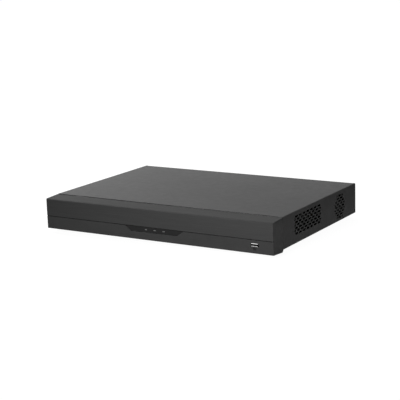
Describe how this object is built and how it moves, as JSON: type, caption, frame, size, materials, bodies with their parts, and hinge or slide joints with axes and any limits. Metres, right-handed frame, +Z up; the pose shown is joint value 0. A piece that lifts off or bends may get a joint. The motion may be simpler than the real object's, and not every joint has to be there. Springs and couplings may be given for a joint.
{
  "type": "dvr recorder",
  "caption": "Slim desktop video recorder: folded steel case, moulded front with smoked indicator window and USB socket, vented sides with a fan, and a rear panel of video sockets.",
  "frame": {"origin": "centre of the bounding box on the surface that the feet stand on", "axes": "+X to the right seen from the front, +Y to the rear sockets, +Z up"},
  "size_m": [0.375, 0.2796, 0.053],
  "materials": {
    "aluminium": "extruded",
    "bezel_plastic": "fine-grained dark grey plastic",
    "black_plastic": "satin black",
    "blue_plastic": "satin blue",
    "board_green": "solder mask",
    "brass": "turned",
    "case_paint": "fine-textured charcoal powder coat",
    "cast_aluminium": "as cast",
    "clear_plastic": "clear",
    "copper": "enamelled copper wire",
    "gold_plate": "gold plated",
    "green_plastic": "satin green",
    "grey_lead": "satin grey",
    "lamp_white": "white",
    "lid_steel": "brushed",
    "navy_sleeve": "sleeved",
    "panel_plastic": "dark grey, finely brushed",
    "plated_steel": "nickel plated",
    "red_lead": "satin red",
    "red_plastic": "satin red",
    "rubber": "matt black",
    "smoked_window": "smoked, nearly black",
    "tray_steel": "charcoal powder coat",
    "white_plastic": "satin white",
    "yellow_lead": "satin yellow",
    "zinc_screw": "zinc plated"
  },
  "bodies": {
    "case": {"base_tray": "tray_steel", "rear_panel": "tray_steel", "top_cover": "case_paint", "front_bezel": "bezel_plastic", "upper_panel": "panel_plastic", "indicator_window": "smoked_window", "light_guide": "clear_plastic", "front_board": "board_green", "indicator_lamps": "lamp_white", "front_usb_shell": "plated_steel", "front_usb_tongue": "black_plastic", "rubber_feet": "rubber", "foot_screws": "zinc_screw", "cover_screws": "zinc_screw", "drive_a_casting": "cast_aluminium", "drive_a_lid": "lid_steel", "drive_a_board": "board_green", "drive_b_casting": "cast_aluminium", "drive_b_lid": "lid_steel", "drive_b_board": "board_green", "drive_connectors": "black_plastic", "drive_screws": "zinc_screw", "drive_leads": "red_lead", "front_ribbon": "grey_lead", "main_board": "board_green", "board_standoffs": "brass", "board_screws": "zinc_screw", "processor": "black_plastic", "heat_sink": "aluminium", "capacitors": "navy_sleeve", "clock_battery": "plated_steel", "lead_sockets": "white_plastic", "fan_frame": "black_plastic", "fan_stator": "copper", "fan_screws": "zinc_screw", "fan_lead": "yellow_lead", "bnc_housings": "black_plastic", "bnc_barrels": "plated_steel", "bnc_insulators": "white_plastic", "bnc_contacts": "gold_plate", "audio_housing": "black_plastic", "audio_shells": "plated_steel", "audio_insulators": "red_plastic", "vga_shell": "plated_steel", "vga_insulator": "blue_plastic", "vga_jackscrews": "plated_steel", "hdmi_shell": "plated_steel", "hdmi_tongue": "black_plastic", "rear_usb_shell": "plated_steel", "rear_usb_tongue": "white_plastic", "network_shield": "plated_steel", "network_body": "black_plastic", "terminal_header": "green_plastic", "power_jack": "black_plastic", "ground_screw": "zinc_screw", "switch_housing": "black_plastic"},
    "fan_rotor": {"fan_rotor": "black_plastic"},
    "power_rocker": {"switch_rocker": "black_plastic"},
    "terminal_block": {"terminal_plug": "green_plastic", "terminal_screws": "zinc_screw"}
  },
  "joints": [
    {"name": "fan_spin", "type": "hinge", "parent": "case", "child": "fan_rotor", "pos_m": [0.1755, 0.06755, 0.0296], "axis": [1, 0, 0], "continuous": true},
    {"name": "switch_tilt", "type": "hinge", "parent": "case", "child": "power_rocker", "pos_m": [-0.1603, 0.12265, 0.0309], "axis": [-1, 0, 0], "range_deg": [0, 20]},
    {"name": "plug_pull", "type": "slide", "parent": "case", "child": "terminal_block", "axis": [0, 1, 0], "range_m": [0, 0.012]}
  ]
}
